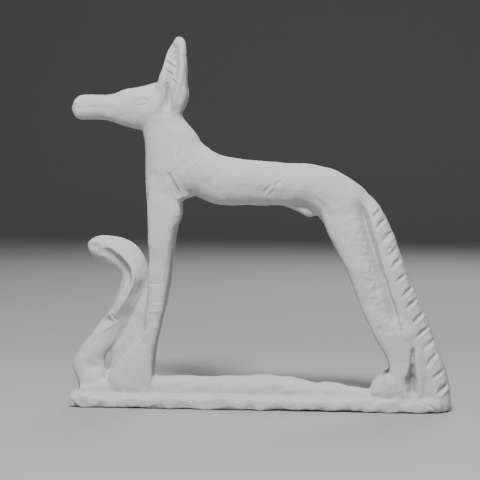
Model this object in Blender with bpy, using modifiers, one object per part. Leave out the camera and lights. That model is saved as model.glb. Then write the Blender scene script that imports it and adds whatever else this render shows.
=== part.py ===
"""A standing jackal on a narrow plank, with a rearing cobra in front of it, cast in one piece.

Metres, +Z up. The jackal faces -X and Y = 0 is its plane of symmetry. The origin is in the
middle of the plank's flat underside.

Every limb is a loft: a closed tube whose rings stand between the two edges of the limb's
outline, seen from the side. The limbs overlap where they grow out of each other, one voxel
remesh makes a single skin of them, and the grooves are pressed into that skin.
"""

from collections import namedtuple

import bmesh
import bpy
import numpy as np
from mathutils import Vector

# Driving sizes, in metres
LENGTH = 0.080  # from the front of the plank to the heel of the tail
PLANK_WIDTH = 0.0100
PLANK_THICKNESS = 0.0033
RIB_WIDTH = 0.0070  # the raised rib on the plank, which the forefeet stand on
RIB_RISE = 0.0033  # of the rib above the plank
PLANK_END_ROUNDING = 0.0019
SOLE_WIDTH = 0.68 * PLANK_WIDTH  # the flat strip of the underside, which the figure stands on
SOLE_BEVEL = 0.00025  # how far the edges of the underside stand off the ground
SOLE_ARCH = 0.00006  # how far its middle does, so that the figure stands on both ends

# The free forms below are in shares of the length, each a hundredth of it
SHARE = LENGTH / 100

# How fine the skin is
GRAIN = 0.36 * SHARE  # side of a remesh voxel
SMOOTHING_PASSES = 5
FACES_KEPT = 0.037  # share of the remeshed faces that the decimation keeps
RING_POINTS = 28
RINGS_PER_SPAN = 5

# The underside is cut flat, so every form may reach a little below it
BELOW = 0.8 * SHARE
SOLE_ENDS = (-47.2, 46.8)
SOLE_BEVEL_RUN = 2.4 * SOLE_BEVEL
PLANK_FULLNESS = 2.6
PLANK_END_STEPS = 4
PLANK_END_DROP = 0.6  # how far the plank's top comes down at its ends, by the rounding
PLANK_END_LIFT = 0.4  # how far its bottom comes up there
RIB_FULLNESS = 3.0
RIB_NARROWEST = 0.8  # share of the rib's width where it has no rise
PLANK_ENDS = (-49.4, 48.0)

BODY_COLOUR = (0.56, 0.56, 0.56, 1.0)
BODY_ROUGHNESS = 0.7

# A ring of a limb: the two edges of the outline as (x, height above the plank's top), half the
# limb's width, where its middle lies to the side, how far its widest line lies from the middle
# (+1 at the first edge, -1 at the second), and how full it is (2 an ellipse, more is boxier)
Ring = namedtuple("Ring", "first second half_width aside ridge fullness", defaults=(0, 0, 2.2))

TORSO = (
    Ring((-29.6, 56.0), (-29.4, 49.0), 1.8),
    Ring((-27.8, 60.0), (-27.8, 46.0), 3.9),
    Ring((-22.4, 62.5), (-23.4, 46.5), 4.8),
    Ring((-16.4, 65.0), (-17.8, 51.3), 5.0),
    Ring((-9.6, 62.0), (-11.4, 49.2), 4.9),
    Ring((-1.6, 60.8), (-2.6, 49.1), 4.8),
    Ring((6.4, 60.1), (5.4, 49.0), 4.7),
    Ring((13.5, 59.8), (11.4, 49.0), 4.8),
    Ring((20.5, 58.0), (16.0, 45.6), 5.1),
    Ring((26.6, 54.0), (19.4, 40.6), 4.8),
    Ring((29.6, 50.0), (22.6, 39.0), 3.4),
)
NECK = (
    Ring((-29.2, 49.0), (-17.4, 51.0), 4.4),
    Ring((-29.8, 56.0), (-12.4, 62.0), 4.9),
    Ring((-30.1, 61.0), (-15.2, 65.4), 4.5),
    Ring((-30.1, 65.5), (-17.4, 69.2), 4.0),
    Ring((-30.8, 68.5), (-19.6, 72.0), 3.6),
    Ring((-31.4, 72.0), (-21.4, 74.6), 3.0),
    Ring((-30.6, 74.6), (-23.4, 76.4), 1.9),
)
HEAD = (
    Ring((-20.4, 77.2), (-20.2, 72.8), 1.8),
    Ring((-22.0, 79.6), (-21.0, 70.5), 3.3),
    Ring((-26.4, 81.0), (-26.6, 68.5), 4.0),
    Ring((-30.8, 79.8), (-32.2, 68.6), 3.7, ridge=0.15),
    Ring((-35.7, 79.0), (-36.2, 69.8), 3.1, ridge=0.15),
    Ring((-39.2, 77.8), (-39.7, 70.9), 2.6, ridge=0.1),
    Ring((-44.2, 77.8), (-43.8, 71.3), 2.5),
    Ring((-47.5, 77.6), (-47.2, 71.3), 2.4),
    Ring((-48.9, 76.4), (-48.5, 71.9), 1.9),
    Ring((-49.5, 74.6), (-49.4, 73.4), 0.8),
)
EAR = (
    Ring((-27.0, 76.0), (-20.6, 72.0), 1.4, 2.1, -0.4),
    Ring((-27.2, 79.0), (-18.7, 77.0), 1.9, 2.4, -0.5),
    Ring((-26.1, 82.0), (-18.7, 80.8), 1.9, 2.5, -0.5),
    Ring((-24.9, 85.2), (-19.0, 84.2), 1.7, 2.5, -0.4),
    Ring((-24.2, 88.4), (-19.4, 87.6), 1.5, 2.5, -0.3),
    Ring((-23.3, 90.3), (-19.7, 90.6), 1.2, 2.4, -0.2),
    Ring((-21.6, 92.6), (-20.3, 92.6), 0.8, 2.4),
)
FORELEG = (
    Ring((-28.6, 52.5), (-21.8, 53.0), 1.2, 3.2),
    Ring((-29.0, 49.0), (-20.2, 47.4), 2.0, 3.1, fullness=2.6),
    Ring((-28.8, 43.0), (-21.7, 42.4), 2.2, 2.9, fullness=3.0),
    Ring((-28.6, 37.0), (-22.6, 36.6), 2.1, 2.8, fullness=3.2),
    Ring((-28.6, 30.0), (-23.2, 29.6), 2.1, 2.7, fullness=3.2),
    Ring((-29.0, 23.0), (-24.4, 22.6), 2.1, 2.7, fullness=3.0),
    Ring((-29.8, 17.0), (-25.9, 16.2), 2.1, 2.7, fullness=2.8),
    Ring((-31.4, 10.5), (-27.3, 9.5), 2.1, 2.7, fullness=2.8),
    Ring((-32.5, -1.0), (-28.0, -1.0), 2.1, 2.7, fullness=2.8),
)
FOREFOOT = (
    Ring((-27.6, 16.4), (-27.6, -1.0), 1.6, 2.7),
    Ring((-29.8, 14.9), (-29.8, -1.0), 2.2, 2.7, -0.3, 3.6),
    Ring((-33.0, 11.9), (-33.0, -1.0), 2.3, 2.7, -0.3, 3.8),
    Ring((-35.9, 9.0), (-35.9, -0.6), 2.1, 2.6, -0.3, 3.8),
    Ring((-38.3, 5.8), (-38.1, 0.4), 1.7, 2.5, -0.2, 3.2),
    Ring((-39.2, 4.2), (-39.2, 1.8), 0.9, 2.4),
)
# The gusset that fills the gap between the forelegs and the cobra's back
GUSSET = (
    Ring((-29.6, 28.6), (-27.2, 30.0), 0.8),
    Ring((-30.8, 25.2), (-26.8, 27.0), 2.4, ridge=-0.6, fullness=1.3),
    Ring((-33.4, 21.0), (-26.8, 22.6), 3.2, ridge=-0.7, fullness=1.2),
    Ring((-36.6, 14.8), (-27.4, 15.8), 3.5, ridge=-0.7, fullness=1.2),
    Ring((-38.9, 10.8), (-28.6, 10.4), 3.5, ridge=-0.7, fullness=1.2),
    Ring((-39.1, 6.4), (-29.2, 6.0), 3.2, ridge=-0.6, fullness=1.3),
    Ring((-40.8, 3.4), (-29.2, 3.0), 3.0, ridge=-0.6, fullness=1.3),
    Ring((-40.0, -1.0), (-29.2, -1.0), 3.0, ridge=-0.6, fullness=1.3),
)
HIND_LEG = (
    Ring((15.6, 50.0), (26.0, 50.5), 1.4, 2.8),
    Ring((17.0, 44.4), (27.6, 44.4), 2.3, 2.9),
    Ring((20.3, 37.6), (29.8, 37.6), 2.5, 2.9, fullness=2.6),
    Ring((23.9, 30.0), (32.2, 30.2), 2.4, 2.9, fullness=2.8),
    Ring((27.2, 21.8), (35.0, 22.0), 2.3, 2.9, fullness=2.8),
    Ring((30.3, 15.2), (37.8, 15.2), 2.3, 2.9, fullness=2.8),
    Ring((33.3, 10.2), (39.0, 10.0), 2.2, 3.0, fullness=2.6),
    Ring((34.3, 6.2), (38.4, 5.0), 2.2, 3.1, fullness=2.6),
    Ring((34.0, -1.0), (38.6, -1.0), 2.2, 3.2, fullness=2.6),
)
HIND_FOOT = (
    Ring((38.6, 3.6), (38.6, -1.0), 1.6, 3.4),
    Ring((36.0, 6.4), (36.0, -1.0), 2.3, 3.4, fullness=2.6),
    Ring((33.2, 5.6), (33.0, -1.0), 2.2, 3.3, fullness=2.6),
    Ring((30.8, 4.0), (30.4, -0.4), 1.8, 3.2, fullness=2.6),
    Ring((29.7, 2.8), (29.6, 0.4), 0.9, 3.1),
)
TAIL = (
    Ring((20.6, 50.0), (24.2, 54.6), 1.4),
    Ring((24.6, 46.0), (30.4, 50.2), 3.2, fullness=2.6),
    Ring((27.6, 40.5), (34.0, 44.2), 4.2, fullness=2.8),
    Ring((29.6, 34.5), (37.2, 36.0), 4.5, fullness=3.0),
    Ring((32.4, 27.0), (40.4, 27.6), 4.6, fullness=3.0),
    Ring((35.4, 19.4), (43.5, 20.8), 4.6, fullness=3.0),
    Ring((38.6, 13.0), (46.3, 13.4), 4.5, fullness=3.0),
    Ring((40.4, 6.8), (48.9, 6.6), 4.5, fullness=3.0),
    Ring((41.0, 1.0), (50.1, 0.4), 4.5, fullness=3.0),
    Ring((41.2, -2.4), (50.2, -2.6), 4.4, fullness=3.0),
    Ring((42.0, -4.6), (48.6, -4.6), 3.8, fullness=3.0),
)
# The web that closes the gap between each heel and the tail
HEEL_WEB = (
    Ring((34.6, 20.0), (39.4, 20.4), 1.8, 3.0),
    Ring((35.8, 15.6), (41.6, 15.6), 2.4, 2.8, fullness=2.6),
    Ring((36.4, 10.0), (43.6, 10.0), 2.5, 2.7, fullness=3.0),
    Ring((36.4, 4.0), (43.8, 4.0), 2.5, 2.7, fullness=3.0),
    Ring((36.4, -1.5), (43.8, -1.5), 2.5, 2.7, fullness=3.0),
)
SHEATH = (
    Ring((5.4, 49.9), (6.6, 48.9), 0.6),
    Ring((9.0, 50.0), (9.8, 47.6), 1.3),
    Ring((11.6, 49.8), (12.2, 46.3), 1.6),
    Ring((13.6, 48.8), (13.8, 46.0), 1.6),
    Ring((15.4, 48.2), (15.4, 46.8), 0.9),
)
COBRA = (
    Ring((-47.0, -2.0), (-39.4, -2.0), 4.2),
    Ring((-47.9, 1.6), (-39.8, 2.0), 3.4),
    Ring((-49.2, 6.0), (-40.6, 6.8), 2.6),
    Ring((-48.2, 9.5), (-40.4, 9.3), 2.4),
    Ring((-45.2, 13.9), (-37.8, 12.6), 2.4),
    Ring((-41.4, 18.5), (-34.8, 17.0), 2.8, ridge=0.6, fullness=1.7),
    Ring((-38.6, 22.1), (-31.9, 21.4), 3.4, ridge=0.6, fullness=1.35),
    Ring((-37.2, 26.0), (-29.6, 26.4), 4.0, ridge=0.32, fullness=1.2),
    Ring((-36.3, 29.6), (-28.6, 30.4), 4.2, fullness=1.2),
    Ring((-36.9, 31.0), (-29.7, 34.7), 3.9, ridge=-0.12, fullness=1.2),
    Ring((-39.2, 32.5), (-32.9, 38.8), 3.3, ridge=-0.15, fullness=1.3),
    Ring((-41.6, 34.0), (-37.2, 40.4), 2.8, ridge=-0.35, fullness=1.5),
    Ring((-43.4, 35.0), (-41.1, 40.9), 2.5, ridge=-0.2, fullness=1.9),
    Ring((-44.6, 36.4), (-43.5, 40.3), 1.8),
    Ring((-45.3, 37.9), (-45.0, 39.2), 0.7),
)

# The rib's crest, as (x, share of its full rise), from the cobra's coil to the hind feet
RIB_CREST = (
    (-47.0, 0.5),
    (-41.0, 0.7),
    (-28.0, 0.85),
    (-20.5, 0.95),
    (-13.7, 0.9),
    (0.0, 1.05),
    (6.0, 1.0),
    (14.4, 0.68),
    (19.0, 0.66),
    (27.0, 0.34),
    (34.0, 0.05),
)

# A groove: its line as (x, height) points on both sides of the figure, half its width and its
# depth, all in shares
Groove = namedtuple("Groove", "line half_width depth")

TAIL_FRONT = ((26.6, 50.0), (28.2, 45.3), (31.6, 33.4), (35.2, 22.0), (36.8, 17.4))
SLIT_BEHIND_HEEL = ((40.2, 12.0), (39.9, 5.4))
HOLLOW_BEHIND_HEEL = ((39.9, 4.6), (40.0, 1.4))
EAR_HOLLOW = ((-22.4, 89.5), (-22.8, 83.0), (-23.6, 77.0), (-24.4, 73.8))
SHOULDER_CREASE = ((-23.3, 56.9), (-20.7, 51.7))
JAW_CREASE = ((-28.1, 72.8), (-22.9, 73.4), (-20.8, 74.4))

# The strokes across the tail's outer side, which stand for its fur, from the top down
TAIL_STROKES = (
    ((29.9, 46.3), (31.5, 47.9)),
    ((30.7, 43.5), (32.6, 45.6)),
    ((32.2, 40.1), (34.4, 42.3)),
    ((33.5, 36.3), (35.7, 38.3)),
    ((34.7, 33.3), (36.7, 35.5)),
    ((36.1, 29.9), (37.8, 31.3)),
    ((37.5, 25.8), (39.9, 28.3)),
    ((38.6, 22.9), (41.0, 25.3)),
    ((40.2, 19.0), (42.7, 21.6)),
    ((41.2, 15.6), (44.2, 18.0)),
    ((43.1, 12.4), (45.4, 14.6)),
    ((43.9, 7.8), (46.2, 11.2)),
    ((45.3, 4.9), (48.0, 6.8)),
    ((46.6, 0.9), (49.1, 3.3)),
)
STROKE_HALF_WIDTH = 0.6
STROKE_DEPTH = 0.45

# Grooves fade out where the skin turns away from the side, from this share of sideways on
SIDE_FACING = 0.6
GROOVE_SHARPNESS = 1.5  # of a groove's section: 1 is a round channel, more has a sharper bottom


def new_object(name, mesh_data, collection):
    made = bpy.data.objects.new(name, mesh_data)
    collection.objects.link(made)
    return made


def new_collection(name):
    made = bpy.data.collections.new(name)
    bpy.context.scene.collection.children.link(made)
    return made


def smooth_through(values, per_span):
    """Catmull-Rom points through the rows of values, per_span of them to each span."""
    rows = np.array(values, float)
    padded = np.vstack([2 * rows[0] - rows[1], rows, 2 * rows[-1] - rows[-2]])
    made = []
    for i in range(len(rows) - 1):
        before, start, end, after = padded[i : i + 4]
        for step in range(per_span):
            t = step / per_span
            made.append(
                0.5
                * (
                    2 * start
                    + (end - before) * t
                    + (2 * before - 5 * start + 4 * end - after) * t**2
                    + (3 * start - before - 3 * end + after) * t**3
                )
            )
    made.append(rows[-1])
    return np.array(made)


def superellipse(fullness):
    """The (x, y) points of a superellipse that fits the square from -1 to 1."""
    angles = 2 * np.pi * np.arange(RING_POINTS) / RING_POINTS
    x, y = np.cos(angles), np.sin(angles)
    power = 2 / fullness
    return np.stack([np.sign(x) * abs(x) ** power, np.sign(y) * abs(y) ** power], axis=1)


def ring_points(row, side):
    """The points of one ring, in metres. side is +1, or -1 to mirror it."""
    x1, z1, x2, z2, half_width, aside, ridge, fullness = row
    middle = np.array([(x1 + x2) / 2, side * aside, (z1 + z2) / 2])
    half_span = np.array([(x1 - x2) / 2, 0, (z1 - z2) / 2])
    points = []
    for along, across in superellipse(fullness):
        along = ridge + (1 - ridge) * along if along > 0 else ridge + (1 + ridge) * along
        point = middle + along * half_span
        point[1] += across * half_width
        points.append(Vector(point * SHARE) + Vector((0, 0, PLANK_THICKNESS)))
    return points


def add_tube(bm, rings):
    """Adds a closed tube through rings of points."""
    loops = [[bm.verts.new(point) for point in ring] for ring in rings]
    faces = [bm.faces.new(loops[0]), bm.faces.new(loops[-1])]
    for low, high in zip(loops, loops[1:]):
        for i in range(len(low)):
            j = (i + 1) % len(low)
            faces.append(bm.faces.new((low[i], low[j], high[j], high[i])))
    bmesh.ops.recalc_face_normals(bm, faces=faces)


def add_limb(bm, limb, sides=(1,)):
    flat = [(*r.first, *r.second, r.half_width, r.aside, r.ridge, r.fullness) for r in limb]
    rows = smooth_through(flat, RINGS_PER_SPAN)
    for side in sides:
        add_tube(bm, [ring_points(row, side) for row in rows])


def bar_ring(x, half_width, low, high, fullness):
    """A ring of a bar that lies along X, all in metres."""
    middle, half_height = (low + high) / 2, (high - low) / 2
    return [
        Vector((x, across * half_width, middle + up * half_height))
        for up, across in superellipse(fullness)
    ]


def plank_end(end, inwards):
    """The rings of one rounded end of the plank, from its tip inwards (+1 or -1 along X)."""
    rings = []
    for step in range(PLANK_END_STEPS + 1):
        turn = np.pi / 2 * step / PLANK_END_STEPS
        inset = PLANK_END_ROUNDING * (1 - np.sin(turn))
        x = end + inwards * PLANK_END_ROUNDING * (1 - np.cos(turn))
        low = -BELOW + PLANK_END_LIFT * inset
        high = PLANK_THICKNESS - PLANK_END_DROP * inset
        rings.append(bar_ring(x, PLANK_WIDTH / 2 - inset, low, high, PLANK_FULLNESS))
    return rings


def add_plank(bm):
    """The plank, a low bar with rounded edges and ends."""
    front, back = (x * SHARE for x in PLANK_ENDS)
    add_tube(bm, plank_end(front, 1) + plank_end(back, -1)[::-1])


def add_rib(bm):
    """The raised rib along the plank, from the cobra's coil to the hind feet."""
    rings = []
    for x, rise in smooth_through(RIB_CREST, RINGS_PER_SPAN):
        half_width = RIB_WIDTH / 2 * (RIB_NARROWEST + (1 - RIB_NARROWEST) * rise)
        high = PLANK_THICKNESS + rise * RIB_RISE
        rings.append(bar_ring(x * SHARE, half_width, PLANK_THICKNESS / 2, high, RIB_FULLNESS))
    add_tube(bm, rings)


def distance_to_line(points, line):
    """Each point's distance to a line of (x, z) points, all in metres."""
    nearest = np.full(len(points), np.inf)
    for start, end in zip(line, line[1:]):
        run = end - start
        along = np.clip((points - start) @ run / (run @ run), 0, 1)
        away = np.linalg.norm(points - start - along[:, None] * run, axis=1)
        nearest = np.minimum(nearest, away)
    return nearest


def press_grooves(mesh, grooves):
    """Moves the skin inwards along each groove's line, where it faces away from the middle."""
    count = len(mesh.vertices)
    places = np.empty(count * 3)
    normals = np.empty(count * 3)
    mesh.vertices.foreach_get("co", places)
    mesh.vertices.foreach_get("normal", normals)
    places, normals = places.reshape(-1, 3), normals.reshape(-1, 3)
    outline = places[:, [0, 2]]
    sideways = np.clip(normals[:, 1] * np.sign(places[:, 1]) / SIDE_FACING, 0, 1)
    for groove in grooves:
        line = np.array(groove.line) * SHARE + [0, PLANK_THICKNESS]
        reach = distance_to_line(outline, line) / (groove.half_width * SHARE)
        press = np.clip(1 - reach**2, 0, 1) ** GROOVE_SHARPNESS * sideways
        places = places - (press * groove.depth * SHARE)[:, None] * normals
    mesh.vertices.foreach_set("co", places.ravel())
    mesh.update()


def body_material():
    material = bpy.data.materials.new("matte_grey")
    material.use_nodes = True
    shader = material.node_tree.nodes["Principled BSDF"]
    shader.inputs["Base Color"].default_value = BODY_COLOUR
    shader.inputs["Roughness"].default_value = BODY_ROUGHNESS
    return material


def limbs_mesh():
    """All the limbs, still as separate tubes that overlap."""
    bm = bmesh.new()
    pair = (1, -1)
    for limb in (TORSO, NECK, HEAD, GUSSET, TAIL, SHEATH, COBRA):
        add_limb(bm, limb)
    for limb in (EAR, FORELEG, FOREFOOT, HIND_LEG, HIND_FOOT, HEEL_WEB):
        add_limb(bm, limb, pair)
    add_plank(bm)
    add_rib(bm)
    mesh = bpy.data.meshes.new("limbs")
    bm.to_mesh(mesh)
    bm.free()
    return mesh


def one_skin(mesh, collection):
    """The limbs as one smooth skin."""
    limbs = new_object("limbs", mesh, collection)
    remesh = limbs.modifiers.new("one_skin", "REMESH")
    remesh.mode = "VOXEL"
    remesh.voxel_size = GRAIN
    smooth = limbs.modifiers.new("soften", "SMOOTH")
    smooth.factor = 0.5
    smooth.iterations = SMOOTHING_PASSES
    graph = bpy.context.evaluated_depsgraph_get()
    skin = bpy.data.meshes.new_from_object(limbs.evaluated_get(graph))
    bpy.data.objects.remove(limbs)
    return skin


def oblong(front, back, half_width, z, arch=0):
    """A level oblong's corners and the middles of its long sides, which rise by arch."""
    middle = (front + back) / 2
    near = ((front, -half_width, z), (middle, -half_width, z + arch), (back, -half_width, z))
    far = ((x, -y, height) for x, y, height in reversed(near))
    return [Vector(place) for place in (*near, *far)]


def underside_cutter(collection):
    """A slab under the figure. The shallow pit in its top leaves the sole, with a bevel."""
    front, back = (x * SHARE for x in SOLE_ENDS)
    run = SOLE_BEVEL_RUN
    rings = [
        oblong(-LENGTH, LENGTH, LENGTH / 2, -LENGTH / 10),
        oblong(-LENGTH, LENGTH, LENGTH / 2, SOLE_BEVEL),
        oblong(front - run, back + run, SOLE_WIDTH / 2 + run, SOLE_BEVEL),
        oblong(front, back, SOLE_WIDTH / 2, 0, SOLE_ARCH),
    ]
    bm = bmesh.new()
    add_tube(bm, rings)
    middles = [vert for vert in bm.verts if 0 < vert.co.z < SOLE_BEVEL / 2]
    bmesh.ops.connect_verts(bm, verts=middles)
    bmesh.ops.triangulate(bm, faces=bm.faces[:])
    mesh = bpy.data.meshes.new("underside_cutter")
    bm.to_mesh(mesh)
    bm.free()
    cutter = new_object("underside_cutter", mesh, collection)
    cutter.hide_render = True
    cutter.display_type = "WIRE"
    return cutter


def figurine(collection, cutters):
    skin = one_skin(limbs_mesh(), collection)
    press_grooves(
        skin,
        [
            Groove(TAIL_FRONT, 0.9, 0.9),
            Groove(SLIT_BEHIND_HEEL, 0.8, 1.1),
            Groove(HOLLOW_BEHIND_HEEL, 1.5, 1.9),
            Groove(EAR_HOLLOW, 1.9, 1.2),
            Groove(SHOULDER_CREASE, 0.7, 0.4),
            Groove(JAW_CREASE, 0.6, 0.2),
            *(Groove(line, STROKE_HALF_WIDTH, STROKE_DEPTH) for line in TAIL_STROKES),
        ],
    )
    skin.name = "jackal_figurine"
    made = new_object("jackal_figurine", skin, collection)
    skin.materials.append(body_material())
    fewer = made.modifiers.new("fewer_faces", "DECIMATE")
    fewer.ratio = FACES_KEPT
    cut = made.modifiers.new("flat_underside", "BOOLEAN")
    cut.operation = "DIFFERENCE"
    cut.object = underside_cutter(cutters)
    return made


def main():
    for old in list(bpy.data.objects):
        bpy.data.objects.remove(old)
    parts = new_collection("jackal_figurine")
    cutters = new_collection("cutters")
    figurine(parts, cutters)


main()
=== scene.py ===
"""The jackal figurine's finished skin, its matte grey material, and the studio it stands in.

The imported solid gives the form. Here it is remeshed finely, its facets are smoothed away, and
then the carving goes in: creases, hollows, flats cut with a wax tool, strokes of fur, burrs and
the uneven surface of a casting. Places and sizes on the figure are in shares of its length,
measured from the middle of the underside: x towards the tail, z up. The jackal's left side, which
faces the camera, is y < 0.
"""

import math

import bmesh
import bpy
import numpy as np
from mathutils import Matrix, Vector


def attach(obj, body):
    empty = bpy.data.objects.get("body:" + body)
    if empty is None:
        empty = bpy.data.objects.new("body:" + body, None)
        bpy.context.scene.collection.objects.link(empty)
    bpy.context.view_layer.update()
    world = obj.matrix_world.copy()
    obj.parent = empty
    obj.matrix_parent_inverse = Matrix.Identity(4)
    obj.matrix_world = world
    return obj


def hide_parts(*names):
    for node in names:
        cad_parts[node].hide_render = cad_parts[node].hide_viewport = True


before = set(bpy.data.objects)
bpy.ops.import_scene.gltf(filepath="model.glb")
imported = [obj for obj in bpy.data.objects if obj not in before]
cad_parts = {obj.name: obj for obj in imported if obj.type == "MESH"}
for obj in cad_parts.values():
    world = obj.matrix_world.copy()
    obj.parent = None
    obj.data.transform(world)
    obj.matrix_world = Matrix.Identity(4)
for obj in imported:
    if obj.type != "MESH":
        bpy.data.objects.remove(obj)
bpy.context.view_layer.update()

NODE = "jackal_figurine"
SHARE = 0.0008  # a hundredth of the figure's length, in metres

# The skin
FINE_VOXEL = 0.00016  # in metres
FACET_SMOOTHING = 10  # passes
TRIANGLES_KEPT = 190_000
SIDE_LIMIT = 6.0  # how far from the middle the skin may reach before it is held back
SIDE_GIVE = 0.3  # how much further it may reach at most

# The casting's unevenness, as (size, height, seed of the draw)
BROAD_WAVES = (9.0, 0.08, 1)
SMALL_WAVES = (3.4, 0.03, 2)
GRAIN = (1.3, 0.012, 3)

# The far ear's lean and drop at its tip, and how much fuller both ears are behind
EAR_LEAN = 0.9
EAR_DROP = 1.0
EAR_FULLNESS = 0.75

NEAR = -1
FAR = 1
BOTH = 0

# Looks, the colours as shares of white
GREY = 0.56
ROUGHNESS = 0.75
GRAIN_BUMP = 0.00006  # in metres
FLOOR_GREY = 0.38
SURROUND = 0.11

# The lights, as (name, place, size, watts)
LIGHTS = (
    ("key", (-0.02, -0.26, 0.35), 0.09, 2.75),
    ("fill", (0.08, 0.38, 0.34), 0.3, 1.3),
)
LIT_PLACE = (0.0, 0.0, 0.04)


def new_object(name, mesh):
    made = bpy.data.objects.new(name, mesh)
    bpy.context.scene.collection.objects.link(made)
    return made


def evaluated_mesh(obj):
    graph = bpy.context.evaluated_depsgraph_get()
    return bpy.data.meshes.new_from_object(obj.evaluated_get(graph))


def fine_skin():
    """A fine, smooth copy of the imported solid's mesh."""
    bm = bmesh.new()
    bm.from_mesh(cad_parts[NODE].data)
    bmesh.ops.remove_doubles(bm, verts=bm.verts, dist=1e-6)
    mesh = bpy.data.meshes.new("rough")
    bm.to_mesh(mesh)
    bm.free()
    rough = new_object("rough", mesh)
    remesh = rough.modifiers.new("fine", "REMESH")
    remesh.mode = "VOXEL"
    remesh.voxel_size = FINE_VOXEL
    smooth = rough.modifiers.new("smooth", "SMOOTH")
    smooth.factor = 0.5
    smooth.iterations = FACET_SMOOTHING
    skin = evaluated_mesh(rough)
    bpy.data.objects.remove(rough)
    return skin


# The ends of a cut: the square of their width, as a share of the middle's
BLUNT = 0.15
POINTED = 0.02

# How far each pass of softening moves a place towards the mean of its neighbours
MELTING = 0.6

# The height over which a step fades out at each of its ends
STEP_FADE = 4


def taper(along, end):
    """1 in the middle of a line, less towards its ends."""
    return np.sqrt(np.clip(4 * along * (1 - along), end, 1))


def divided(line, steps):
    """The line's points, with each run between two of them divided into steps."""
    points = []
    for (x0, z0), (x1, z1) in zip(line, line[1:]):
        points += [(x0 + i / steps * (x1 - x0), z0 + i / steps * (z1 - z0)) for i in range(steps)]
    return points + [line[-1]]


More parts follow.
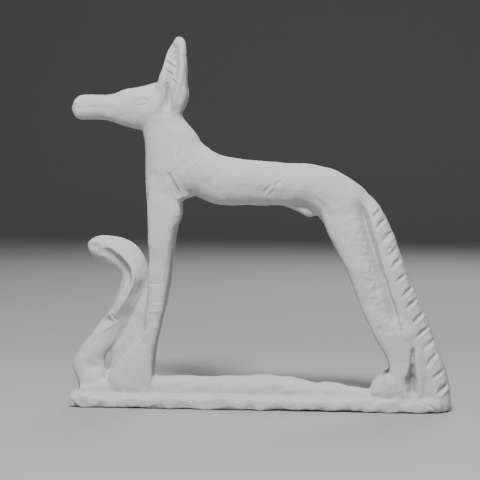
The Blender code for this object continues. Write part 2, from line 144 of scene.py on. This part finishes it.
class Skin:
    """The skin's vertices and normals in shares, for carving."""

    def __init__(self, mesh):
        self.mesh = mesh
        count = len(mesh.vertices)
        self.places = np.empty(count * 3)
        mesh.vertices.foreach_get("co", self.places)
        self.places = self.places.reshape(-1, 3) / SHARE
        edges = np.empty(len(mesh.edges) * 2, dtype=np.int32)
        mesh.edges.foreach_get("vertices", edges)
        self.edges = edges.reshape(-1, 2)
        self.renew_normals()

    def renew_normals(self):
        self.store()
        normals = np.empty(len(self.places) * 3)
        self.mesh.vertices.foreach_get("normal", normals)
        self.normals = normals.reshape(-1, 3)

    def store(self):
        self.mesh.vertices.foreach_set("co", (self.places * SHARE).ravel())
        self.mesh.update()

    def on_side(self, side):
        """Weight 1 on the skin that faces the given side, 0 on the rest."""
        if side == BOTH:
            facing = np.abs(self.normals[:, 1])
            facing = facing * (np.sign(self.normals[:, 1]) == np.sign(self.places[:, 1]))
        else:
            facing = self.normals[:, 1] * side
            facing = facing * (self.places[:, 1] * side > -0.6)
        return np.clip((facing + 0.05) / 0.25, 0, 1)

    def near_line(self, line):
        """Each point's distance, seen from the side, to a line of (x, z) points, and how far
        along the line its nearest point is, from 0 to 1."""
        points = self.places[:, [0, 2]]
        line = np.array(line, float)
        runs = line[1:] - line[:-1]
        lengths = np.linalg.norm(runs, axis=1)
        starts = np.concatenate([[0], np.cumsum(lengths)])
        best = np.full(len(points), np.inf)
        along = np.zeros(len(points))
        for start, run, length, before in zip(line, runs, lengths, starts):
            t = np.clip((points - start) @ run / length**2, 0, 1)
            away = np.linalg.norm(points - start - t[:, None] * run, axis=1)
            closer = away < best
            best[closer] = away[closer]
            along[closer] = (before + t * length)[closer] / starts[-1]
        return best, along

    def stroke(self, line, half_width, depth, side=NEAR, tapered=True, sharp=1.5):
        """Presses a groove along a line, or raises a ridge where depth is negative."""
        away, along = self.near_line(line)
        press = np.clip(1 - (away / half_width) ** 2, 0, 1) ** sharp * depth * self.on_side(side)
        if tapered:
            press *= taper(along, BLUNT)
        self.places -= press[:, None] * self.normals

    def sink(self, depths):
        """Moves the skin of both sides straight inwards."""
        self.places[:, 1] -= depths * self.on_side(BOTH) * np.sign(self.places[:, 1])

    def slot(self, line, half_width, depth):
        """Cuts straight inwards along a line, with steep walls and pointed ends."""
        away, along = self.near_line(line)
        ends = taper(along, POINTED)
        self.sink(np.clip(1 - (away / (half_width * ends)) ** 2, 0, 1) ** 0.8 * depth * ends)

    def cleft(self, line, half_width, depth):
        """Cuts a V straight inwards along a line, with pointed ends."""
        away, along = self.near_line(line)
        ends = taper(along, POINTED)
        self.sink(np.clip(1 - away / (half_width * ends), 0, 1) * depth * ends)

    def step(self, line, reach, wall, depth):
        """Sinks the skin in front of a line, most along the line, so what is behind it stands
        proud. It rises to there over the wall's width, and the line's ends fade out."""
        x, _, z = self.places.T
        line_x, line_z = np.array(line).T
        before = np.interp(-z, -line_z, line_x) - x
        sunk = np.clip(1 - before / reach, 0, 1) ** 1.5 * np.clip(before / wall, 0, 1)
        sunk *= np.clip((line_z[0] - z) / STEP_FADE, 0, 1)
        sunk *= np.clip((z - line_z[-1]) / STEP_FADE, 0, 1)
        self.sink(sunk * depth)

    def flat(self, centre, normal, reach, soft, strength):
        """Cuts a flat: what stands above the plane, within reach of its centre, comes down by the
        given share of its height. The cut fades out over the outer share of its reach."""
        centre, normal = np.array(centre, float), np.array(normal, float)
        normal /= np.linalg.norm(normal)
        offset = self.places - centre
        above = offset @ normal
        sideways = np.linalg.norm(offset - above[:, None] * normal, axis=1)
        within = np.clip((reach - sideways) / (soft * reach), 0, 1)
        within = within * (self.normals @ normal > 0)
        cut = np.where(above > 0, above, 0) * within * strength
        self.places -= cut[:, None] * normal

    def lump(self, centre, radius, height):
        """Raises a round lump, or presses a pit where height is negative."""
        away = np.linalg.norm(self.places - np.array(centre, float), axis=1)
        rise = np.clip(1 - (away / radius) ** 2, 0, 1) ** 2 * height
        self.places += rise[:, None] * self.normals

    def soften(self, centre, radius, passes):
        """Melts the forms together within radius of a place."""
        away = np.linalg.norm(self.places - np.array(centre, float), axis=1)
        pull = np.clip(1.5 * (1 - away / radius), 0, 1)
        chosen = np.flatnonzero(pull > 0)
        number = np.full(len(self.places), -1)
        number[chosen] = np.arange(len(chosen))
        ends = number[self.edges]
        ends = ends[(ends >= 0).all(axis=1)]
        first, second = np.concatenate([ends, ends[:, ::-1]]).T
        count = np.maximum(np.bincount(first, minlength=len(chosen)), 1)
        places, pull = self.places[chosen], pull[chosen, None] * MELTING
        for _ in range(passes):
            mean = [np.bincount(first, places[second, i], len(chosen)) / count for i in range(3)]
            places = places + pull * (np.stack(mean, axis=1) - places)
        self.places[chosen] = places

    def unevenness(self, size, height, seed, where=None, waves=48):
        """Waves of about the given size in every direction, together about height high."""
        draw = np.random.default_rng(seed)
        ways = draw.normal(size=(waves, 3))
        ways /= np.linalg.norm(ways, axis=1, keepdims=True)
        ways *= 2 * np.pi / (size * draw.uniform(0.6, 1.5, (waves, 1)))
        shifts = draw.uniform(0, 2 * np.pi, waves)
        rise = np.zeros(len(self.places))
        for way, shift in zip(ways, shifts):
            rise += np.sin(self.places @ way + shift)
        rise *= height / math.sqrt(waves / 2)
        if where is not None:
            rise *= where
        self.places += rise[:, None] * self.normals


def carve_head(skin):
    """The eye, the mouth's line, the jaw's crease and the flats that the snout was filed with."""
    # The neck is filed down just behind the ears, and jaw and neck are melted together
    skin.lump((-19.2, 0.0, 76.4), 3.4, -0.35)
    skin.lump((-17.9, 0.0, 74.0), 4.0, -0.35)
    for side in (NEAR, FAR):
        skin.soften((-29.4, side * 2.6, 73.0), 4.0, 40)
        skin.soften((-25.4, side * 3.6, 75.0), 4.6, 90)
        skin.soften((-21.4, side * 2.8, 76.2), 3.6, 90)
    skin.renew_normals()

    # The eye's two lids, the mouth, and the jaw's crease
    eye_corner, eye_back = (-32.9, 79.3), (-28.4, 79.6)
    skin.stroke([eye_corner, (-31.9, 80.3), (-30.6, 80.6), (-29.4, 80.4), eye_back], 0.4, 0.18, BOTH)
    skin.stroke([eye_corner, (-32.0, 79.1), (-30.8, 78.9), (-29.5, 79.1), eye_back], 0.35, 0.12, BOTH)
    skin.stroke([(-48.1, 78.3), (-43.6, 78.6), (-40.5, 78.5), (-38.4, 78.3)], 0.45, 0.1, BOTH)
    skin.stroke([(-46.9, 77.3), (-43.0, 77.4), (-39.6, 77.3)], 0.6, -0.06, BOTH)
    skin.stroke([(-27.6, 76.7), (-25.0, 76.7), (-22.4, 77.2), (-20.3, 78.3)], 0.5, 0.1, BOTH)

    # Flats along the snout's top, over the eye and on the cheek
    for side in (NEAR, FAR):
        skin.flat((-42.0, side * 2.35, 80.2), (0, side, 0.75), 7.0, 0.5, 0.6)
        skin.flat((-32.6, side * 3.3, 82.2), (-0.1, side, 1.1), 4.5, 0.5, 0.7)
        skin.flat((-28.0, side * 3.9, 77.6), (0, side, -0.1), 3.2, 0.5, 0.7)
    skin.lump((-48.7, -1.4, 80.2), 1.1, 0.14)


def carve_ears(skin):
    """The ears' hollows, their rims and the facets in them. The far ear leans forward a little."""
    x, y, z = skin.places.T
    lean = np.clip((z - 82) / 10, 0, 1) * np.clip(y, 0, 1)
    skin.places[:, 0] -= EAR_LEAN * lean
    skin.places[:, 2] -= EAR_DROP * lean * np.clip((z - 88) / 6, 0, 1)
    middle = -21.6 + 0.17 * (z - 93)
    behind = np.clip((x - middle) / 1.2, 0, 1)
    skin.places[:, 0] += EAR_FULLNESS * behind * np.clip((z - 85) / 8, 0, 1)

    # The hollow in front of the rim, and the cleft behind the cheek
    rim = [(-21.1, 96.0), (-20.8, 92.2), (-20.5, 88.6), (-20.9, 85.5), (-21.9, 82.4), (-22.9, 79.2)]
    skin.stroke([(x - 0.9, z) for x, z in rim[1:]], 1.2, 0.5, BOTH, sharp=0.8)
    skin.stroke([(-23.7, 84.2), (-23.4, 81.0), (-23.3, 78.0)], 0.7, 0.6, BOTH, sharp=0.8)
    skin.renew_normals()

    # The rim, the cheek's edge, and the tool's marks in the near ear
    skin.stroke([(x + 0.7, z) for x, z in rim], 0.9, -0.4, BOTH)
    skin.stroke([(-24.4, 83.2), (-24.4, 80.6), (-24.1, 78.2)], 0.5, -0.25, BOTH)
    for line in (
        ((-23.9, 91.0), (-21.6, 89.4)),
        ((-24.0, 88.9), (-22.0, 87.2)),
        ((-22.3, 86.5), (-21.3, 85.2)),
    ):
        skin.stroke(line, 0.5, -0.35, NEAR)
        skin.stroke([(x, z - 0.8) for x, z in line], 0.4, 0.2, NEAR)


def carve_body(skin):
    """The shoulder's crease and the tool's marks on the flank."""
    crease = [(-22.9, 61.2), (-21.9, 58.8), (-20.2, 55.8), (-19.4, 54.6)]
    skin.stroke([(x + 1.3, z + 0.1) for x, z in crease], 2.0, 0.32, BOTH)
    skin.stroke(crease, 0.55, 0.4, BOTH, sharp=1.0)
    skin.stroke([(x - 0.9, z) for x, z in crease], 0.8, -0.1, BOTH)

    # A ridge down the neck, a fold at its foot, and a shallow furrow along the flank
    skin.stroke([(-20.6, 69.6), (-21.4, 65.4), (-20.8, 62.6)], 0.7, -0.14, NEAR)
    skin.stroke([(-13.8, 65.4), (-16.6, 63.0), (-18.4, 60.6)], 0.6, 0.12, NEAR)
    skin.stroke([(-6.0, 57.4), (0.6, 57.0), (8.0, 56.2)], 1.6, 0.16, BOTH)

    # The tool's marks on the flank, and the fold of the groin
    for line in (((1.6, 56.5), (3.4, 58.5)), ((4.6, 58.6), (6.6, 60.2)), ((3.0, 55.8), (4.2, 57.2))):
        skin.stroke(line, 0.45, 0.16, NEAR, sharp=1.0)
        skin.stroke([(x - 0.65, z + 0.45) for x, z in line], 0.5, -0.1, NEAR)
    skin.stroke([(8.3, 63.0), (8.2, 61.5)], 0.3, 0.14, NEAR)
    skin.stroke([(14.6, 55.2), (17.8, 52.6), (19.6, 49.8)], 0.9, 0.14, BOTH)


def carve_forelegs(skin):
    """Flats and creases on the forelegs, the edge of each forefoot, and the burrs behind."""
    skin.stroke([(-20.9, 52.4), (-22.0, 46.0), (-23.2, 38.0), (-24.4, 29.0)], 0.8, 0.2, BOTH)
    skin.stroke([(-28.2, 32.5), (-24.9, 32.7)], 0.35, 0.16, NEAR)
    skin.stroke([(-26.9, 27.2), (-25.0, 27.3)], 0.3, -0.14, NEAR)
    skin.stroke([(-28.2, 25.4), (-25.6, 25.4)], 0.3, -0.14, NEAR)

    # The forefoot's upper edge, over flats on the foot and the shin
    foot_edge = [(-27.2, 21.6), (-30.2, 18.4), (-33.7, 15.4), (-36.4, 12.6), (-38.6, 9.8)]
    skin.stroke([(x - 1.0, z + 1.0) for x, z in foot_edge], 1.5, 0.3, BOTH)
    for side in (NEAR, FAR):
        skin.flat((-31.4, side * 4.7, 11.6), (-0.12, side, 0.1), 7.5, 0.25, 0.8)
        skin.flat((-25.4, side * 4.6, 20.0), (0.5, side, 0.0), 5.0, 0.4, 0.6)
    skin.renew_normals()
    skin.stroke(foot_edge, 0.8, -0.08, BOTH, tapered=False)

    # Burrs and nicks along the rear edge
    for x, z, height in ((-19.6, 51.9, 0.45), (-21.7, 44.1, 0.3), (-25.1, 19.7, 0.35)):
        skin.lump((x, -4.0, z), 1.0, height)
    for x, z in ((-20.6, 49.6), (-21.3, 46.6), (-20.9, 44.6)):
        skin.lump((x, -4.4, z), 1.0, -0.3)


def carve_hind_legs(skin):
    """The step that parts leg and tail, the recess behind the heel, and the foot's facets."""
    parting = [(26.4, 53.8), (27.4, 50.0), (28.8, 45.3), (30.3, 40.0), (32.0, 33.4), (33.8, 27.6)]
    parting += [(35.7, 21.4)]
    for side in (NEAR, FAR):
        skin.soften((26.4, side * 5.0, 54.4), 2.8, 90)
        skin.soften((40.2, side * 4.6, 16.6), 1.8, 40)
        skin.soften((39.8, side * 4.0, 9.0), 1.8, 40)
        for x, z in divided(parting, 2):
            skin.soften((x - 0.2, side * 4.0, z), 2.6, 50)
    skin.renew_normals()

    # Tail and leg: the step between them, and rough skin in front of it
    skin.stroke([(x - 1.4, z) for x, z in parting], 1.6, 0.25, BOTH)
    skin.step([(x + 0.8, z) for x, z in parting], 2.6, 0.5, 1.3)
    skin.step([(x + 1.5, z) for x, z in parting[:5]], 4.2, 1.9, 2.2)
    away, _ = skin.near_line([(x - 2.6, z) for x, z in parting[1:]])
    skin.unevenness(1.8, 0.07, 21, np.clip(1.2 - away / 2.6, 0, 1) * skin.on_side(BOTH))

    # The hock, the recess behind the heel, and small lumps and pits along the step
    skin.lump((38.9, -4.2, 20.5), 2.6, 0.6)
    skin.cleft([(40.3, 17.2), (40.1, 11.0), (40.1, 3.2)], 1.0, 0.8)
    skin.cleft([(40.1, 12.6), (40.0, 8.0), (40.1, 2.8)], 1.8, 1.4)
    skin.stroke([(38.6, 9.6), (38.8, 6.6)], 1.2, 0.35, BOTH)
    for x, z, height in ((33.0, 30.6, 0.2), (34.2, 29.6, -0.22), (35.2, 22.6, 0.22), (36.6, 21.4, -0.2)):
        skin.lump((x, -5.2, z), 0.9, height)
    skin.lump((39.4, -5.4, 4.9), 1.2, 0.45)

    # The foot
    for side in (NEAR, FAR):
        skin.flat((33.6, side * 5.3, 7.8), (-0.25, side, 0.25), 3.4, 0.3, 0.8)
        skin.flat((30.6, side * 4.6, 6.2), (-0.9, side, 0.4), 2.4, 0.3, 0.8)
    skin.stroke([(33.2, 10.4), (33.9, 7.4), (33.5, 5.0)], 0.5, -0.22, BOTH)
    skin.stroke([(35.2, 9.8), (36.2, 7.0), (36.0, 4.8)], 0.6, 0.2, BOTH)


# The strokes across the tail, each as (foot, tip, half its width, depth)
TAIL_STROKES = (
    ((29.9, 50.4), (31.5, 52.0), 0.5, 0.35),
    ((30.7, 47.6), (32.6, 49.8), 0.4, 0.45),
    ((32.2, 44.2), (34.4, 46.4), 0.9, 0.35),
    ((33.1, 41.2), (34.9, 43.0), 0.35, 0.2),
    ((33.9, 40.0), (35.9, 42.2), 0.35, 0.3),
    ((34.7, 37.4), (36.6, 39.6), 0.5, 0.5),
    ((36.2, 34.1), (37.6, 35.2), 0.35, 0.3),
    ((37.5, 30.0), (39.8, 32.4), 0.45, 0.55),
    ((38.6, 27.1), (40.8, 29.3), 0.45, 0.5),
    ((40.2, 23.2), (42.6, 25.7), 0.5, 0.55),
    ((41.2, 19.8), (44.0, 22.1), 0.4, 0.6),
    ((43.1, 16.9), (45.3, 18.7), 0.8, 0.3),
    ((43.8, 12.0), (46.0, 15.2), 0.6, 0.4),
    ((45.6, 9.0), (47.8, 10.8), 0.4, 0.35),
    ((46.8, 5.2), (49.0, 7.4), 0.7, 0.8),
)


def carve_tail(skin):
    """Strokes of fur, each a cut with a raised lip beneath it."""
    for foot, tip, half_width, depth in TAIL_STROKES:
        middle = ((foot[0] + tip[0]) / 2 - 0.15, (foot[1] + tip[1]) / 2 + 0.2)
        line = [foot, middle, tip]
        skin.slot(line, half_width + 0.1, 0.9 * depth)
        lower = half_width + 0.2
        skin.stroke([(x + lower, z - lower) for x, z in line], 0.5, -0.35 * depth, BOTH)

    # The fold where the tail meets the plank
    skin.stroke([(43.4, 3.9), (46.8, 1.4)], 0.5, -0.3, NEAR)
    skin.stroke([(43.0, 3.0), (46.2, 0.8)], 0.4, 0.25, NEAR)


def carve_cobra(skin):
    """The hood's rim, the facets of the head and neck, and the crack across the throat."""
    for side in (NEAR, FAR):
        skin.flat((-37.4, side * 2.6, 42.2), (-0.1, side, 0.7), 4.6, 0.3, 0.9)
        skin.flat((-43.2, side * 2.0, 40.6), (-0.5, side, 0.2), 2.8, 0.3, 0.8)
        skin.flat((-40.0, side * 2.2, 20.7), (-0.5, side, 0.7), 3.2, 0.3, 0.9)
        skin.flat((-43.0, side * 2.2, 12.8), (0.1, side, -0.3), 3.6, 0.4, 0.8)
    skin.renew_normals()

    # The hood's rim stands out between the hollow in front of it and the back
    rim = [(-40.8, 42.9), (-38.1, 41.6), (-35.6, 39.9), (-33.8, 38.2), (-32.7, 36.4), (-32.3, 33.8)]
    rim += [(-33.1, 31.4), (-34.3, 29.2), (-36.0, 26.6), (-37.3, 24.8)]
    skin.stroke([(x - 1.5, z - 0.9) for x, z in rim[:6]], 1.4, 0.6, BOTH)
    skin.stroke([(x - 1.2, z - 0.6) for x, z in rim[5:]], 1.0, 0.4, BOTH)
    skin.stroke([(x + 0.4, z) for x, z in rim[3:]], 1.7, -0.35, BOTH)
    skin.stroke(rim, 0.6, -0.35, BOTH)

    # The throat's crease, the snout's crease, and the crack with the ridge below it
    skin.stroke([(-33.5, 33.3), (-34.5, 31.3), (-35.5, 29.3)], 0.4, 0.3, BOTH)
    skin.stroke([(-41.6, 44.4), (-41.9, 41.8), (-41.6, 39.6)], 0.5, 0.18, BOTH)
    skin.stroke([(-38.9, 24.6), (-38.2, 23.7), (-37.4, 22.8)], 0.4, 0.3, NEAR, sharp=1.0)
    skin.stroke([(-42.4, 19.2), (-39.9, 20.6), (-37.5, 22.2)], 0.6, -0.2, NEAR)


# Lumps and pits on the plank's edges, as (place, radius, height)
PLANK_LUMPS = (
    ((-48.6, -3.4, 3.4), 1.6, 0.45),
    ((-45.6, -5.6, 2.6), 1.8, 0.4),
    ((-47.4, -4.6, 1.2), 1.3, -0.35),
    ((-41.6, -6.0, 2.2), 1.9, 0.35),
    ((-38.4, -6.0, 3.2), 1.5, -0.3),
    ((-34.6, -6.1, 1.8), 1.6, 0.3),
    ((-46.8, 4.6, 2.8), 1.8, 0.4),
    ((-41.0, 6.0, 2.2), 1.7, 0.35),
    ((8.0, -6.1, 2.0), 1.8, -0.25),
    ((39.6, -6.1, 1.2), 1.2, 0.3),
    ((44.8, 5.4, 2.6), 1.6, 0.3),
)


def carve_base(skin):
    """The plank's ragged edges: lumps and hollows along it, thickest at its front end."""
    x, y, z = skin.places.T
    low = np.clip((4.6 - z) / 0.8, 0, 1) * np.clip(z / 0.5, 0, 1)
    front = np.clip((-40 - x) / 6, 0, 1)
    side_face = low * np.clip((np.abs(y) - 4.6) / 1.2, 0, 1)
    skin.unevenness(6.0, 0.2, 11, side_face)
    skin.unevenness(2.4, 0.07, 12, side_face)
    skin.unevenness(2.4, 0.14, 13, low * front)
    rib = np.clip((z - 4.4) / 0.8, 0, 1) * np.clip((9.4 - z) / 1.0, 0, 1) * (np.abs(x) < 33)
    rib = rib * np.clip((x + 27) / 4, 0, 1)
    skin.unevenness(5.0, 0.08, 14, rib)
    for place, radius, height in PLANK_LUMPS:
        skin.lump(place, radius, height)


def keep_in_box(skin):
    """Holds back what the lumps have raised past the plank's sides or under its bottom."""
    side = skin.places[:, 1]
    past = np.clip(np.abs(side) - SIDE_LIMIT, 0, None)
    over = SIDE_GIVE * np.tanh(past / SIDE_GIVE)
    skin.places[:, 1] = np.sign(side) * (np.minimum(np.abs(side), SIDE_LIMIT) + over)
    skin.places[:, 2] = np.maximum(skin.places[:, 2], 0)


def carve(skin):
    skin.unevenness(*BROAD_WAVES)
    skin.unevenness(*SMALL_WAVES)
    carve_base(skin)
    skin.renew_normals()
    carve_head(skin)
    carve_ears(skin)
    carve_body(skin)
    carve_forelegs(skin)
    carve_hind_legs(skin)
    skin.renew_normals()
    carve_tail(skin)
    carve_cobra(skin)
    skin.renew_normals()
    skin.unevenness(*GRAIN)
    keep_in_box(skin)


def noise(tree, coordinates, size, detail):
    """A noise texture with spots of about the given size in metres."""
    made = tree.nodes.new("ShaderNodeTexNoise")
    made.inputs["Scale"].default_value = 1 / size
    made.inputs["Detail"].default_value = detail
    tree.links.new(coordinates, made.inputs["Vector"])
    return made.outputs["Fac"]


def spread(tree, value, low, high, to_low, to_high):
    """The value, with its range from low to high stretched to that from to_low to to_high."""
    made = tree.nodes.new("ShaderNodeMapRange")
    for name, number in (
        ("From Min", low), ("From Max", high), ("To Min", to_low), ("To Max", to_high),
    ):
        made.inputs[name].default_value = number
    tree.links.new(value, made.inputs["Value"])
    return made.outputs["Result"]


def product(tree, first, second):
    made = tree.nodes.new("ShaderNodeMath")
    made.operation = "MULTIPLY"
    tree.links.new(first, made.inputs[0])
    tree.links.new(second, made.inputs[1])
    return made.outputs["Value"]


def matte_grey():
    """Pale grey, faintly mottled, with painted shade darkening the cuts and painted highlights
    lightening the edges.
    """
    material = bpy.data.materials.new("matte_grey")
    material.use_nodes = True
    tree = material.node_tree
    shader = tree.nodes["Principled BSDF"]
    shader.inputs["Roughness"].default_value = ROUGHNESS
    shader.inputs["Specular IOR Level"].default_value = 0.2
    coordinates = tree.nodes.new("ShaderNodeTexCoord").outputs["Object"]
    mottle = spread(tree, noise(tree, coordinates, 0.006, 4), 0.3, 0.7, 0.955, 1.035)
    speckle = spread(tree, noise(tree, coordinates, 0.0008, 3), 0.3, 0.7, 0.97, 1.03)
    geometry = tree.nodes.new("ShaderNodeNewGeometry")
    # Painted shade and painted highlight: the grey is darkened where the skin is hollow and lightened
    # where it is pointed, following its Pointiness
    edges = spread(tree, geometry.outputs["Pointiness"], 0.42, 0.56, 0.72, 1.1)
    grey = product(tree, product(tree, mottle, speckle), edges)
    grey = spread(tree, grey, 0, 1, 0, GREY)
    colour = tree.nodes.new("ShaderNodeCombineColor")
    for channel in ("Red", "Green", "Blue"):
        tree.links.new(grey, colour.inputs[channel])
    tree.links.new(colour.outputs["Color"], shader.inputs["Base Color"])
    bump = tree.nodes.new("ShaderNodeBump")
    bump.inputs["Strength"].default_value = 0.35
    bump.inputs["Distance"].default_value = GRAIN_BUMP
    tree.links.new(noise(tree, coordinates, 0.0005, 4), bump.inputs["Height"])
    tree.links.new(bump.outputs["Normal"], shader.inputs["Normal"])
    return material


def figurine():
    mesh = fine_skin()
    skin = Skin(mesh)
    carve(skin)
    skin.store()
    mesh.name = "figurine_skin"
    made = new_object("figurine_skin", mesh)
    mesh.polygons.foreach_set("use_smooth", np.ones(len(mesh.polygons), bool))
    triangles = 2 * len(mesh.polygons)  # the remesh makes faces of four sides
    fewer = made.modifiers.new("fewer", "DECIMATE")
    fewer.ratio = min(1.0, TRIANGLES_KEPT / triangles)
    final = evaluated_mesh(made)
    made.modifiers.clear()
    made.data = final
    final.materials.append(matte_grey())
    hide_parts(NODE)
    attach(made, "root")
    return made


def sweep():
    """A pale floor that curves up into a wall far behind the figure."""
    bend = 0.6
    behind = 0.7
    steps = 24
    profile = [(-2.5, 0.0)]
    for step in range(steps + 1):
        turn = math.pi / 2 * step / steps
        profile.append((behind + bend * math.sin(turn), bend * (1 - math.cos(turn))))
    profile.append((behind + bend, 3.0))
    points = [(x, y, z) for y, z in profile for x in (-3.0, 3.0)]
    faces = [(2 * i, 2 * i + 1, 2 * i + 3, 2 * i + 2) for i in range(len(profile) - 1)]
    mesh = bpy.data.meshes.new("sweep")
    mesh.from_pydata(points, [], faces)
    mesh.polygons.foreach_set("use_smooth", [True] * len(faces))
    made = new_object("sweep", mesh)
    material = bpy.data.materials.new("sweep")
    material.use_nodes = True
    shader = material.node_tree.nodes["Principled BSDF"]
    shader.inputs["Base Color"].default_value = (FLOOR_GREY, FLOOR_GREY, FLOOR_GREY, 1)
    shader.inputs["Roughness"].default_value = 0.9
    shader.inputs["Specular IOR Level"].default_value = 0.1
    made.data.materials.append(material)


def soft_light(name, place, size, watts):
    data = bpy.data.lights.new(name, "AREA")
    data.shape = "DISK"
    data.size = size
    data.energy = watts
    made = bpy.data.objects.new(name, data)
    bpy.context.scene.collection.objects.link(made)
    made.location = place
    aim = Vector(LIT_PLACE) - Vector(place)
    made.rotation_euler = aim.to_track_quat("-Z", "Y").to_euler()


def studio():
    sweep()
    world = bpy.data.worlds.new("studio")
    world.use_nodes = True
    background = world.node_tree.nodes["Background"]
    background.inputs["Color"].default_value = (0.8, 0.8, 0.8, 1)
    background.inputs["Strength"].default_value = SURROUND
    bpy.context.scene.world = world
    for light in LIGHTS:
        soft_light(*light)


# The camera
LOOK_AT = Vector((-4.915 * SHARE, 0, 43.99 * SHARE))
CAMERA_DISTANCE = 392.5 * SHARE
CAMERA_TURN = math.radians(5)  # towards the tail
CAMERA_RISE = math.radians(3)
CAMERA_ROLL = math.radians(0.25)
LENS_MM = 112.5


def camera():
    data = bpy.data.cameras.new("camera")
    data.lens = LENS_MM
    data.sensor_width = 36
    data.clip_start = 0.01
    made = bpy.data.objects.new("camera", data)
    bpy.context.scene.collection.objects.link(made)
    back = Vector(
        (
            math.sin(CAMERA_TURN) * math.cos(CAMERA_RISE),
            -math.cos(CAMERA_TURN) * math.cos(CAMERA_RISE),
            math.sin(CAMERA_RISE),
        )
    )
    made.location = LOOK_AT + back * CAMERA_DISTANCE
    made.rotation_euler = (-back).to_track_quat("-Z", "Y").to_euler()
    made.rotation_euler.rotate_axis("Z", CAMERA_ROLL)
    bpy.context.scene.camera = made


figurine()
studio()
camera()
